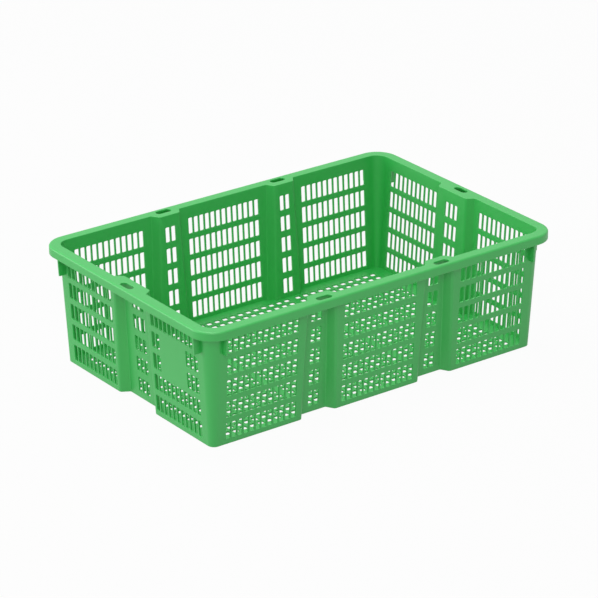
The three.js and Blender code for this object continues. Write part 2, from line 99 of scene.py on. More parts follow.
class Bench:
    """A mesh on the workbench: its parts are picked by place and shaped by operators."""

    def __init__(self, name: str) -> None:
        """Takes the active object and names it.

        Args:
            name: The piece's name.
        """
        self.piece: bpy.types.Object = bpy.context.active_object
        self.piece.name = name
        self.piece.data.name = name

    @classmethod
    def plane(
        cls, name: str, size: Sequence[float], centre: Sequence[float], tilt: float = 0.0
    ) -> "Bench":
        """Starts a piece from a rectangle.

        Args:
            name: The piece's name.
            size: Width and height.
            centre: The middle of the rectangle.
            tilt: Turn about the X axis.

        Returns:
            The bench that holds the new piece.
        """
        clear_selection()
        bpy.ops.mesh.primitive_plane_add(size=1, location=centre, rotation=(tilt, 0, 0))
        return cls._sized(name, (size[0], size[1], 1))

    @classmethod
    def block(cls, name: str, size: Sequence[float], centre: Sequence[float]) -> "Bench":
        """Starts a piece from a box.

        Args:
            name: The piece's name.
            size: Width, depth and height.
            centre: The middle of the box.

        Returns:
            The bench that holds the new piece.
        """
        clear_selection()
        bpy.ops.mesh.primitive_cube_add(size=1, location=centre)
        return cls._sized(name, size)

    @classmethod
    def rod(
        cls, name: str, radius: float, depth: float, centre: Sequence[float], sides: int
    ) -> "Bench":
        """Starts a piece from an upright round rod.

        Args:
            name: The piece's name.
            radius: The rod's radius.
            depth: The rod's height.
            centre: The middle of the rod.
            sides: How many flat sides stand for the round.

        Returns:
            The bench that holds the new piece.
        """
        clear_selection()
        bpy.ops.mesh.primitive_cylinder_add(
            vertices=sides,
            radius=radius,
            depth=depth,
            location=centre,
            rotation=(0, 0, math.pi / sides),
        )
        return cls._sized(name, (1, 1, 1))

    @classmethod
    def _sized(cls, name: str, size: Sequence[float]) -> "Bench":
        """Gives the new primitive its size and puts its place into its mesh.

        Args:
            name: The piece's name.
            size: Scale on each axis.

        Returns:
            The bench that holds the piece.
        """
        bench = cls(name)
        bench.piece.scale = size
        bpy.ops.object.transform_apply(location=True, rotation=True, scale=True)
        return bench

    def activate(self) -> None:
        """Makes this piece the only selected and the active object."""
        clear_selection()
        self.piece.select_set(True)
        bpy.context.view_layer.objects.active = self.piece

    def pick(self, kind: Pick, test: Callable[[Any], bool]) -> int:
        """Selects points, edges or faces by a test.

        Args:
            kind: What to select.
            test: Says whether one element is selected.

        Returns:
            How many were selected.
        """
        bpy.ops.object.mode_set(mode="EDIT")
        bpy.ops.mesh.select_mode(type=kind.value)
        bpy.ops.mesh.select_all(action="DESELECT")
        mesh = bmesh.from_edit_mesh(self.piece.data)
        mesh.normal_update()
        pool = {Pick.POINT: mesh.verts, Pick.EDGE: mesh.edges, Pick.FACE: mesh.faces}[kind]
        chosen = [item for item in pool if test(item)]
        for item in chosen:
            item.select_set(True)
        mesh.select_flush_mode()
        bmesh.update_edit_mesh(self.piece.data, loop_triangles=False, destructive=False)
        return len(chosen)

    def cut(self, direction: Vector, place: float, test: Callable[[Any], bool]) -> None:
        """Cuts the picked faces along a plane.

        Args:
            direction: The plane's normal.
            place: The plane's distance from the origin.
            test: Says whether a face is cut.
        """
        if self.pick(Pick.FACE, test):
            bpy.ops.mesh.bisect(
                plane_co=direction * place, plane_no=direction, threshold=CUT_SNAP
            )

    def move(self, shift: Sequence[float]) -> None:
        """Moves what is selected."""
        bpy.ops.transform.translate(value=shift, orient_type="GLOBAL")

    def stretch(self, factors: Sequence[float], about: Sequence[float]) -> None:
        """Scales what is selected about a point."""
        bpy.ops.transform.resize(value=factors, orient_type="GLOBAL", center_override=about)

    def round_edges(self, width: float, steps: int) -> None:
        """Rounds the selected edges."""
        bpy.ops.mesh.bevel(offset=width, segments=steps, affect="EDGES")

    def round_points(self, width: float, steps: int) -> None:
        """Rounds the selected corners of a flat outline."""
        bpy.ops.mesh.bevel(offset=width, segments=steps, affect="VERTICES")

    def delete_faces(self) -> None:
        """Deletes the selected faces."""
        bpy.ops.mesh.delete(type="FACE")

    def merge_faces(self) -> None:
        """Makes the selected faces that touch one face."""
        bpy.ops.mesh.dissolve_faces()

    def thicken(self, depth: float) -> None:
        """Gives a sheet its thickness, on the side that its faces turn away from.

        Args:
            depth: The thickness.
        """
        self.activate()
        bpy.ops.object.modifier_add(type="SOLIDIFY")
        shell = self.piece.modifiers[-1]
        shell.thickness = depth
        shell.offset = -1
        shell.use_even_offset = True
        bpy.ops.object.modifier_apply(modifier=shell.name)

    def subtract(self, tool: "Bench") -> None:
        """Cuts another piece out of this one and removes it.

        Args:
            tool: The piece to cut with.
        """
        self.activate()
        bpy.ops.object.modifier_add(type="BOOLEAN")
        cutter = self.piece.modifiers[-1]
        cutter.operation = "DIFFERENCE"
        cutter.solver = "EXACT"
        cutter.object = tool.piece
        bpy.ops.object.modifier_apply(modifier=cutter.name)
        bpy.data.objects.remove(tool.piece)

    def smooth(self) -> None:
        """Splits many-sided faces evenly and shades the piece smooth, its flat faces kept flat."""
        self.activate()
        self.pick(Pick.FACE, lambda f: len(f.verts) > 4)
        bpy.ops.mesh.quads_convert_to_tris(quad_method="BEAUTY", ngon_method="BEAUTY")
        self.activate()
        bpy.ops.object.shade_smooth_by_angle(angle=SMOOTH_LIMIT)
        bpy.ops.object.modifier_add(type="WEIGHTED_NORMAL")
        weighting = self.piece.modifiers[-1]
        weighting.weight = FLAT_FACE_WEIGHT
        weighting.keep_sharp = True
        bpy.ops.object.modifier_apply(modifier=weighting.name)

    def turn(self, side: Side) -> None:
        """Turns a piece made at the front round to its side.

        Args:
            side: The side that it belongs on.
        """
        self.activate()
        self.piece.rotation_euler = (0, 0, side.value)
        bpy.ops.object.transform_apply(location=False, rotation=True, scale=False)

    def copy(self, name: str, shift: Sequence[float] = (0, 0, 0)) -> "Bench":
        """Copies the piece with a mesh of its own.

        Args:
            name: The copy's name.
            shift: How far the copy is moved.

        Returns:
            The bench that holds the copy.
        """
        self.activate()
        bpy.ops.object.duplicate(linked=False)
        twin = Bench(name)
        twin.piece.location = shift
        bpy.ops.object.transform_apply(location=True, rotation=False, scale=False)
        return twin


class Value:
    """A shader socket that can be reckoned with: each operator adds a Math node."""

    def __init__(self, graph: "Graph", socket: bpy.types.NodeSocket) -> None:
        """Wraps a socket of a graph."""
        self.graph = graph
        self.socket = socket

    def _reckon(self, operation: str, other: Any) -> "Value":
        """Adds a Math node.

        Args:
            operation: The node's operation.
            other: The second value or number.

        Returns:
            The node's result.
        """
        made = self.graph.add("ShaderNodeMath", {"operation": operation}, {0: self, 1: other})
        return self.graph.out(made, "Value")

    def __add__(self, other: Any) -> "Value":
        """self + other"""
        return self._reckon("ADD", other)

    def __mul__(self, other: Any) -> "Value":
        """self * other"""
        return self._reckon("MULTIPLY", other)


class Graph:
    """The nodes of one material or of the world."""

    def __init__(self, tree: bpy.types.NodeTree) -> None:
        """Empties the node tree."""
        self.tree = tree
        self.tree.nodes.clear()

    def add(
        self,
        kind: str,
        settings: dict[str, Any] | None = None,
        inputs: dict[int | str, Any] | None = None,
    ) -> bpy.types.Node:
        """Adds a node.

        Args:
            kind: The node's type.
            settings: Its properties, which are set first.
            inputs: A number, colour, Value or socket for each of its sockets.

        Returns:
            The node.
        """
        node = self.tree.nodes.new(kind)
        for name, setting in (settings or {}).items():
            setattr(node, name, setting)
        for name, value in (inputs or {}).items():
            source = value.socket if isinstance(value, Value) else value
            if isinstance(source, bpy.types.NodeSocket):
                self.tree.links.new(source, node.inputs[name])
            else:
                node.inputs[name].default_value = source
        return node

    def out(self, node: bpy.types.Node, name: str) -> Value:
        """Gives one of a node's outputs as a Value."""
        return Value(self, node.outputs[name])


@dataclass(frozen=True)
class SatinPlastic:
    """A finish of the moulded plastic: its tones, how satin it is and how fine its grain."""

    name: str
    roughness: float
    roughness_play: float
    grain_size: float
    grain_height: float
    tone: tuple[float, float, float] = (0.0240, 0.470, 0.0760)
    deep_tone: tuple[float, float, float] = (0.0195, 0.430, 0.0650)
    cloud_size: float = 60 * MM
    cloud_detail: float = 3.0
    cloud_share: float = 0.8
    scuff_size: float = 5 * MM
    scuff_detail: float = 4.0
    grain_detail: float = 2.0
    sheen: float = 0.92
    refraction: float = 1.49

    def material(self) -> bpy.types.Material:
        """Builds the finish's material.

        Returns:
            The material.
        """
        made = bpy.data.materials.new(self.name)
        made.use_nodes = True
        graph = Graph(made.node_tree)
        place = graph.out(graph.add("ShaderNodeTexCoord"), "Object")
        cloud = self._noise(graph, place, self.cloud_size, self.cloud_detail)
        scuff = self._noise(graph, place, self.scuff_size, self.scuff_detail)
        grain = self._noise(graph, place, self.grain_size, self.grain_detail)
        blend = cloud * self.cloud_share + scuff * (1 - self.cloud_share)
        tone = graph.add(
            "ShaderNodeMix",
            {"data_type": "RGBA"},
            {"Factor": blend, "A": (*self.deep_tone, 1), "B": (*self.tone, 1)},
        )
        bump = graph.add(
            "ShaderNodeBump",
            None,
            {"Strength": 1.0, "Distance": self.grain_height, "Height": grain},
        )
        low = self.roughness - self.roughness_play / 2
        surface = graph.add(
            "ShaderNodeBsdfPrincipled",
            None,
            {
                "Base Color": graph.out(tone, "Result").socket,
                "Roughness": scuff * self.roughness_play + low,
                "IOR": self.refraction,
                "Specular IOR Level": self.sheen,
                "Normal": graph.out(bump, "Normal"),
            },
        )
        graph.add("ShaderNodeOutputMaterial", None, {"Surface": surface.outputs["BSDF"]})
        return made

    @staticmethod
    def _noise(graph: Graph, place: Value, size: float, detail: float) -> Value:
        """Adds a noise pattern.

        Args:
            graph: The material's graph.
            place: The coordinates that it reads.
            size: The size of one blotch.
            detail: How much finer detail it has.

        Returns:
            The noise, from 0 to 1.
        """
        pattern = graph.add(
            "ShaderNodeTexNoise",
            {"noise_dimensions": "3D"},
            {"Vector": place, "Scale": 1 / size, "Detail": detail},
        )
        return graph.out(pattern, "Fac")


WALL_FINISH = SatinPlastic(
    name="wall_plastic",
    roughness=0.44,
    roughness_play=0.08,
    grain_size=0.7 * MM,
    grain_height=0.020 * MM,
)
RIM_FINISH = SatinPlastic(
    name="rim_plastic",
    roughness=0.42,
    roughness_play=0.12,
    grain_size=0.6 * MM,
    grain_height=0.017 * MM,
    deep_tone=(0.0205, 0.438, 0.0670),
    scuff_size=3 * MM,
)
FLOOR_FINISH = SatinPlastic(
    name="floor_plastic",
    roughness=0.48,
    roughness_play=0.10,
    grain_size=0.8 * MM,
    grain_height=0.022 * MM,
)


def dress(bench: Bench, material: bpy.types.Material, nodes: Sequence[str]) -> None:
    """Gives a finished piece its material and its place in the assembly.

    Args:
        bench: The bench that holds the piece.
        material: Its finish.
        nodes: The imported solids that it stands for.
    """
    clear_selection()
    piece = bench.piece
    piece.data.materials.clear()
    piece.data.materials.append(material)
    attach(piece, BODY)
    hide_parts(*nodes)
    LOG.info("%s: %d faces, for %s", piece.name, len(piece.data.polygons), ", ".join(nodes))


def within(place: float, spans: Spans) -> bool:
    """Says whether a place is inside one of several spans."""
    return any(low < place < high for low, high in spans)


def share_out(start: float, room: float, bar: float, count: int) -> list[Span]:
    """Shares out a stretch among equal openings with bars between them.

    Args:
        start: Where the first opening starts.
        room: The length of the stretch.
        bar: The width of a bar.
        count: How many openings there are.

    Returns:
        The edges of each opening.
    """
    width = (room - (count - 1) * bar) / count
    lows = [start + i * (width + bar) for i in range(count)]
    return [(low, low + width) for low in lows]


@dataclass(frozen=True)
class Moulding:
    """Sizes that the regions of the moulding share."""

    length: float = 500 * MM
    width: float = 334 * MM
    height: float = 148 * MM
    corner_radius: float = 28.5 * MM
    rim_width: float = 13.8 * MM
    rim_thickness: float = 2.2 * MM
    wall: float = 2.0 * MM
    draft: float = 0.0575
    floor_thickness: float = 2.0 * MM
    wall_sunk_in_rim: float = 0.7 * MM
    foot_radius: float = 0.6 * MM

    @property
    def axis_x(self) -> float:
        """Distance from the middle to the corner axes along the basket."""
        return self.length / 2 - self.corner_radius

    @property
    def axis_y(self) -> float:
        """Distance from the middle to the corner axes across the basket."""
        return self.width / 2 - self.corner_radius

    @property
    def rim_underside(self) -> float:
        """Height of the flange's lower face."""
        return self.height - self.rim_thickness

    @property
    def rim_inner(self) -> float:
        """Offset of the rim's inner edge from the corner axes."""
        return self.corner_radius - self.rim_width

    @property
    def wall_top(self) -> float:
        """Height at which the walls end, inside the flange."""
        return self.rim_underside + self.wall_sunk_in_rim

    def wall_offset(self, z: float) -> float:
        """Offset of the walls' outer face from the corner axes at a height."""
        return self.rim_inner + self.wall - self.draft * (self.rim_underside - z)

    def offset_of(self, point: Vector) -> float:
        """Gives how far a point is outside the rectangle of the corner axes.

        Args:
            point: The point.

        Returns:
            Its offset, 0 inside the rectangle.
        """
        beyond_x = max(abs(point.x) - self.axis_x, 0.0)
        beyond_y = max(abs(point.y) - self.axis_y, 0.0)
        return math.hypot(beyond_x, beyond_y)


@dataclass(frozen=True)
class BayPlan:
    """Plan of a bay at one height: half widths of its mouth and face, and its depth."""

    mouth: float
    face: float
    depth: float


@dataclass(frozen=True)
class Bays:
    """The bays of one kind of side: columns of wall set inwards."""

    moulding: Moulding
    centres: tuple[float, ...]
    face_width: float
    columns: int
    flank_run: float = 6.0 * MM
    spread: float = 4.8 * MM
    depth_top: float = 9.5 * MM
    depth_base: float = 10.5 * MM
    bend_radius: float = 2.0 * MM
    bend_steps: int = 4
    shoulder: float = 1.6 * MM
    slot_width: float = 6.0 * MM
    slot_bar: float = 2.2 * MM
    slot_lift: float = 1.5 * MM
    slot_trim: float = 1.2 * MM

    def plan(self, z: float) -> BayPlan:
        """Gives the bay's plan, seen from outside, at a height.

        Args:
            z: The height.

        Returns:
            The plan.
        """
        base = self.moulding.floor_thickness
        drop = (self.moulding.rim_underside - z) / (self.moulding.rim_underside - base)
        face = self.face_width / 2 + self.spread * drop
        depth = self.depth_top + (self.depth_base - self.depth_top) * drop
        return BayPlan(face + self.flank_run, face, depth)

    def skin(self, z: float) -> float:
        """Gives how much wider the bay is on each side of its inner face."""
        depth = self.plan(z).depth
        return self.moulding.wall * (math.hypot(self.flank_run, depth) - self.flank_run) / depth

    def half_span(self) -> float:
        """Gives half the length of wall that a bay takes up."""
        base = self.moulding.floor_thickness
        return self.plan(base).mouth + self.skin(base) + self.shoulder

    def bend(self, radius: float) -> float:
        """Gives how far from its corner a bend of a radius starts."""
        turn = math.atan2((self.depth_top + self.depth_base) / 2, self.flank_run)
        return radius * math.tan(turn / 2)

    def slot_columns(self, centre: float) -> list[Span]:
        """Gives the left and right edges of the slots in one bay's face.

        Args:
            centre: The bay's place along the wall.

        Returns:
            The edges of each column.
        """
        room = self.columns * self.slot_width + (self.columns - 1) * self.slot_bar
        return share_out(centre - room / 2, room, self.slot_bar, self.columns)


@dataclass(frozen=True)
class SlotRows:
    """Heights of the rows of slots."""

    moulding: Moulding
    rows: int = 5
    foot_band: float = 6.4 * MM
    head_band: float = 13.2 * MM
    bar: float = 6.6 * MM

    def edges(self, lift: float = 0.0, trim: float = 0.0) -> list[Span]:
        """Gives the lower and upper edges of the rows.

        Args:
            lift: How far the rows are raised.
            trim: How much shorter they are.

        Returns:
            The edges of each row.
        """
        room = self.moulding.rim_underside - self.head_band - self.foot_band
        spans = share_out(self.foot_band + lift, room, self.bar, self.rows)
        return [(low, high - trim) for low, high in spans]


@dataclass
class SlottedWall:
    """One side of the basket with its bays and slots, modelled at the front and then turned."""

    moulding: Moulding
    rows: SlotRows
    bays: Bays
    axis: float
    straight: float
    post_arm: float
    margin: float
    panel_columns: tuple[int, ...]
    column_bar: float = 2.05 * MM
    corner_rounding: float = 1.3 * MM
    edge_rounding: float = 0.22 * MM
    widest_bend: float = 2.0 * MM
    end_border: float = 1.0 * MM
    foot_border: float = 3.0 * MM
    label_panel: int | None = None
    label_columns: tuple[int, int] = (2, 7)
    label_rows: tuple[int, int] = (2, 3)

    def build(self, name: str) -> Bench:
        """Models the wall.

        Args:
            name: The piece's name.

        Returns:
            The bench that holds the wall, at the front.
        """
        bench = self._sheet(name)
        for centre in self.bays.centres:
            self._bay(bench, centre)
        self._bend(bench)
        self._slots(bench)
        bench.thicken(self.moulding.wall)
        self._soften(bench)
        bench.smooth()
        return bench

    @property
    def end(self) -> float:
        """Half the length of this wall, up to the corner posts."""
        return self.straight - self.post_arm

    def _sheet(self, name: str) -> Bench:
        """Stands up the plain leaning sheet that the wall is made from.

        Args:
            name: The piece's name.

        Returns:
            The bench that holds the sheet.
        """
        top = self.moulding.wall_top
        foot = -(self.axis + self.moulding.wall_offset(0.0))
        bench = Bench.plane(name, (2 * self.end, top), (0, foot, top / 2), QUARTER)
        bench.pick(Pick.POINT, lambda v: v.co.z > top / 2)
        bench.move((0, -self.moulding.draft * top, 0))
        return bench

    def _bay(self, bench: Bench, centre: float) -> None:
        """Sets a bay into the sheet.

        Args:
            bench: The bench that holds the sheet.
            centre: The bay's place along the wall.
        """
        top = self.moulding.wall_top
        low, high = self.bays.plan(0.0), self.bays.plan(top)
        for half in (low.mouth, low.face):
            for sign in (-1, 1):
                bench.cut(ALONG, centre + sign * half, lambda f: True)
        for is_top, plan in ((False, low), (True, high)):
            bench.pick(
                Pick.POINT,
                lambda v, is_top=is_top: abs(v.co.x - centre) < low.face + NEAR
                and (v.co.z > top / 2) == is_top,
            )
            bench.move((0, plan.depth, 0))
        for sign in (-1, 1):
            bench.pick(
                Pick.POINT,
                lambda v, sign=sign: v.co.z > top / 2
                and 0 < sign * (v.co.x - centre) < low.mouth + NEAR,
            )
            bench.move((-sign * (low.face - high.face), 0, 0))

    def _bend(self, bench: Bench) -> None:
        """Rounds the bends of the bays, sharp ones at the face and wide ones at the mouth.

        Args:
            bench: The bench that holds the sheet.
        """
        low = self.bays.plan(0.0)
        near = self.bays.bend_radius
        for half, radius in ((low.mouth, near + self.moulding.wall), (low.face, near)):
            bench.pick(Pick.EDGE, lambda e, half=half: self._stands_at(e, half))
            bench.round_edges(self.bays.bend(radius), self.bays.bend_steps)

    def _stands_at(self, edge: Any, half: float) -> bool:
        """Says whether an upright edge's foot is a given distance from the middle of a bay.

        Args:
            edge: The edge.
            half: The distance.

        Returns:
            True if it stands there.
        """
        foot, head = sorted(edge.verts, key=lambda v: v.co.z)
        upright = head.co.z - foot.co.z > self.moulding.wall_top / 2
        gaps = [abs(abs(foot.co.x - centre) - half) for centre in self.bays.centres]
        return upright and min(gaps) < NEAR

    def _panel_spans(self) -> list[Span]:
        """Gives the stretches of wall between bays and posts.

        Returns:
            The span of each panel.
        """
        half = self.bays.half_span()
        starts = [-self.end, *(centre + half for centre in self.bays.centres)]
        stops = [*(centre - half for centre in self.bays.centres), self.end]
        return list(zip(starts, stops))

    def _panel_columns(self, panel: int) -> list[Span]:
        """Gives the left and right edges of the slots in a panel.

        Args:
            panel: The panel's place in the row of panels.

        Returns:
            The edges of each column.
        """
        start, stop = self._panel_spans()[panel]
        room = stop - start - 2 * self.margin
        return share_out(start + self.margin, room, self.column_bar, self.panel_columns[panel])

    def _slots(self, bench: Bench) -> None:
        """Opens the slots in the panels and in the bays' faces.

        Args:
            bench: The bench that holds the sheet.
        """
        panel_rows = self.rows.edges()
        blocks = [
            (span, self._panel_columns(panel), panel_rows, panel == self.label_panel)
            for panel, span in enumerate(self._panel_spans())
        ]
        face = self.bays.plan(self.moulding.wall_top).face
        bay_rows = self.rows.edges(self.bays.slot_lift, self.bays.slot_trim)
        for centre in self.bays.centres:
            span = (centre - face, centre + face)
            blocks.append((span, self.bays.slot_columns(centre), bay_rows, False))
        for span, columns, rows, labelled in blocks:
            self._score(bench, span, columns, rows)
            self._open(bench, columns, rows, labelled)
            self._join(bench, span, rows)

    @staticmethod
    def _in_rows(face: Any, span: Span, rows: Spans) -> bool:
        """Says whether a face of a stretch lies in a row of slots.

        Args:
            face: The face.
            span: The stretch.
            rows: The slots' lower and upper edges.

        Returns:
            True if it does.
        """
        middle = face.calc_center_median()
        return span[0] < middle.x < span[1] and within(middle.z, rows)

    def _score(self, bench: Bench, span: Span, columns: Spans, rows: Spans) -> None:
        """Cuts the outlines of slots into a flat stretch of the sheet.

        Args:
            bench: The bench that holds the sheet.
            span: The stretch.
            columns: The slots' left and right edges.
            rows: The slots' lower and upper edges.
        """

        def in_span(face: Any) -> bool:
            """Says whether a face is in the stretch, and not in a bend beside it.

            Args:
                face: The face.

            Returns:
                True if it is.
            """
            xs = [v.co.x for v in face.verts]
            wide = max(xs) - min(xs) > self.widest_bend
            return wide and span[0] < sum(xs) / len(xs) < span[1]

        for height in (edge for row in rows for edge in row):
            bench.cut(UP, height, in_span)
        for place in (edge for column in columns for edge in column):
            bench.cut(ALONG, place, lambda f: self._in_rows(f, span, rows))

    def _open(self, bench: Bench, columns: Spans, rows: Spans, labelled: bool) -> None:
        """Takes the slots' faces out of the sheet.

        Args:
            bench: The bench that holds the sheet.
            columns: The slots' left and right edges.
            rows: The slots' lower and upper edges.
            labelled: Whether the label plate's block stays closed.
        """
        plate = self._label_block(columns, rows) if labelled else None

        def is_slot(face: Any) -> bool:
            """Says whether a face fills a slot that is to be open.

            Args:
                face: The face.

            Returns:
                True if it does.
            """
            middle = face.calc_center_median()
            if not (within(middle.x, columns) and within(middle.z, rows)):
                return False
            if plate is None:
                return True
            return not (within(middle.x, [plate[0]]) and within(middle.z, [plate[1]]))

        bench.pick(Pick.FACE, is_slot)
        bench.delete_faces()

    def _label_block(self, columns: Spans, rows: Spans) -> tuple[Span, Span]:
        """Gives the bare label plate's width and height, as spans.

        Args:
            columns: The slots' left and right edges.
            rows: The slots' lower and upper edges.

        Returns:
            The span along the wall and the span of heights.
        """
        first, last = self.label_columns
        bottom, top = self.label_rows
        return (columns[first][0], columns[last][1]), (rows[bottom][0], rows[top][1])

    def _join(self, bench: Bench, span: Span, rows: Spans) -> None:
        """Joins the faces round the slots, so that they are only split across each row's middle.

        Args:
            bench: The bench that holds the sheet.
            span: The stretch that the slots are in.
            rows: The slots' lower and upper edges.
        """
        middles = [(low + high) / 2 for low, high in rows]
        for height in middles:
            bench.cut(UP, height, lambda f: self._in_rows(f, span, rows))

        def is_spare(edge: Any) -> bool:
            """Says whether an edge only divides flat wall, and not at the middle of a row.

            Args:
                edge: The edge.

            Returns:
                True if it does.
            """
            middle = (edge.verts[0].co + edge.verts[1].co) / 2
            if len(edge.link_faces) < 2 or not span[0] < middle.x < span[1]:
                return False
            return min(abs(middle.z - height) for height in middles) > NEAR

        bench.pick(Pick.EDGE, is_spare)
        bpy.ops.mesh.dissolve_edges(use_verts=False)

    def _soften(self, bench: Bench) -> None:
        """Rounds the slots' corners and edges, and the wall's foot.

        Args:
            bench: The bench that holds the wall.
        """
        ends = self.end - self.end_border
        low, high = self.foot_border, self.moulding.wall_top - self.foot_border

        def is_sharp(edge: Any) -> bool:
            """Says whether an edge is sharp and clear of the wall's own border."""
            return edge.calc_face_angle(0.0) > SHARP_EDGE and all(
                abs(v.co.x) < ends and low < v.co.z < high for v in edge.verts
            )

        def is_corner(edge: Any) -> bool:
            """Says whether an edge runs through the wall at a slot's corner."""
            run = edge.verts[1].co - edge.verts[0].co
            return is_sharp(edge) and abs(run.y) > MOSTLY * run.length

        bench.pick(Pick.EDGE, is_corner)
        bench.round_edges(self.corner_rounding, steps=2)
        bench.pick(Pick.EDGE, is_sharp)
        bench.round_edges(self.edge_rounding, steps=1)
        bench.pick(
            Pick.EDGE,
            lambda e: all(v.co.z < NEAR and abs(v.co.x) <= self.end + NEAR for v in e.verts)
            and e.calc_face_angle(0.0) > SHARP_EDGE
            and abs(e.verts[0].co.x - e.verts[1].co.x) > NEAR,
        )
        bench.round_edges(self.moulding.foot_radius, steps=2)


@dataclass
class CornerPost:
    """A plain rounded corner of the walls, from the ground up into the rim."""

    moulding: Moulding
    long_arm: float
    short_arm: float
    steps: int = 14

    def build(self, name: str, hand: int) -> Bench:
        """Models a front corner post.

        Args:
            name: The piece's name.
            hand: 1 for the right-hand corner and -1 for the left-hand one.

        Returns:
            The bench that holds the post.
        """
        m = self.moulding
        top = m.wall_top
        foot = m.wall_offset(0.0)
        centre = (hand * (m.axis_x - self.long_arm / 2), -(m.axis_y + foot), top / 2)
        bench = Bench.plane(name, (self.long_arm, top), centre, QUARTER)
        bench.pick(Pick.POINT, lambda v: v.co.z > top / 2)
        bench.move((0, -m.draft * top, 0))
        bench.pick(
            Pick.EDGE, lambda e: all(abs(abs(v.co.x) - m.axis_x) < NEAR for v in e.verts)
        )
        bpy.ops.mesh.spin(
            steps=self.steps,
            angle=-hand * QUARTER,
            center=(hand * m.axis_x, -m.axis_y, 0),
            axis=(0, 0, 1),
        )
        bench.pick(
            Pick.EDGE,
            lambda e: all(
                abs(v.co.y + m.axis_y) < NEAR and hand * v.co.x > m.axis_x for v in e.verts
            ),
        )
        bpy.ops.mesh.extrude_edges_move(
            TRANSFORM_OT_translate={"value": (0, self.short_arm, 0)}
        )
        bench.pick(Pick.FACE, lambda f: True)
        bpy.ops.mesh.remove_doubles(threshold=NEAR)
        bench.pick(Pick.FACE, lambda f: f.normal.y > hand * f.normal.x)
        bpy.ops.mesh.flip_normals()
        bench.thicken(m.wall)
        bench.pick(
            Pick.EDGE,
            lambda e: all(v.co.z < NEAR for v in e.verts)
            and e.calc_face_angle(0.0) > SHARP_EDGE
            and not self._at_seam(e),
        )
        bench.round_edges(m.foot_radius, steps=2)
        bench.smooth()
        return bench

    def _at_seam(self, edge: Any) -> bool:
        """Says whether an edge lies in the face where the post meets a wall.

        Args:
            edge: The edge.

        Returns:
            True if it does.
        """
        m = self.moulding
        on_long = all(abs(abs(v.co.x) - m.axis_x + self.long_arm) < NEAR for v in edge.verts)
        on_short = all(abs(abs(v.co.y) - m.axis_y + self.short_arm) < NEAR for v in edge.verts)
        return on_long or on_short


@dataclass
class StackingRib:
    """A thin upright rib under the rim beside a corner, which stops a nested basket."""

    moulding: Moulding
    thickness: float = 2.2 * MM
    reach: float = 8.3 * MM
    drop: float = 34.0 * MM
    inset: float = 3.2 * MM
    root: float = 0.8 * MM
    rounding: float = 0.5 * MM

    def build(self, name: str, axis: float, straight: float) -> Bench:
        """Models the rib at the right-hand end of the front wall.

        Args:
            name: The piece's name.
            axis: Distance from the middle to the corner axes, towards the front.
            straight: Half the length of the wall between its corner axes.

        Returns:
            The bench that holds the rib.
        """
        m = self.moulding
        foot, head = m.height - self.drop, m.wall_top
        inner = axis + m.wall_offset(foot) - self.root
        outer = axis + m.wall_offset(foot) + self.reach
        bench = Bench.block(
            name,
            (self.thickness, outer - inner, head - foot),
            (straight - self.inset, -(inner + outer) / 2, (foot + head) / 2),
        )
        bench.pick(Pick.POINT, lambda v: v.co.z > (foot + head) / 2)
        bench.move((0, -m.draft * (head - foot), 0))
        bench.pick(Pick.EDGE, lambda e: any(v.co.z < head - NEAR for v in e.verts))
        bench.round_edges(self.rounding, steps=2)
        bench.smooth()
        return bench


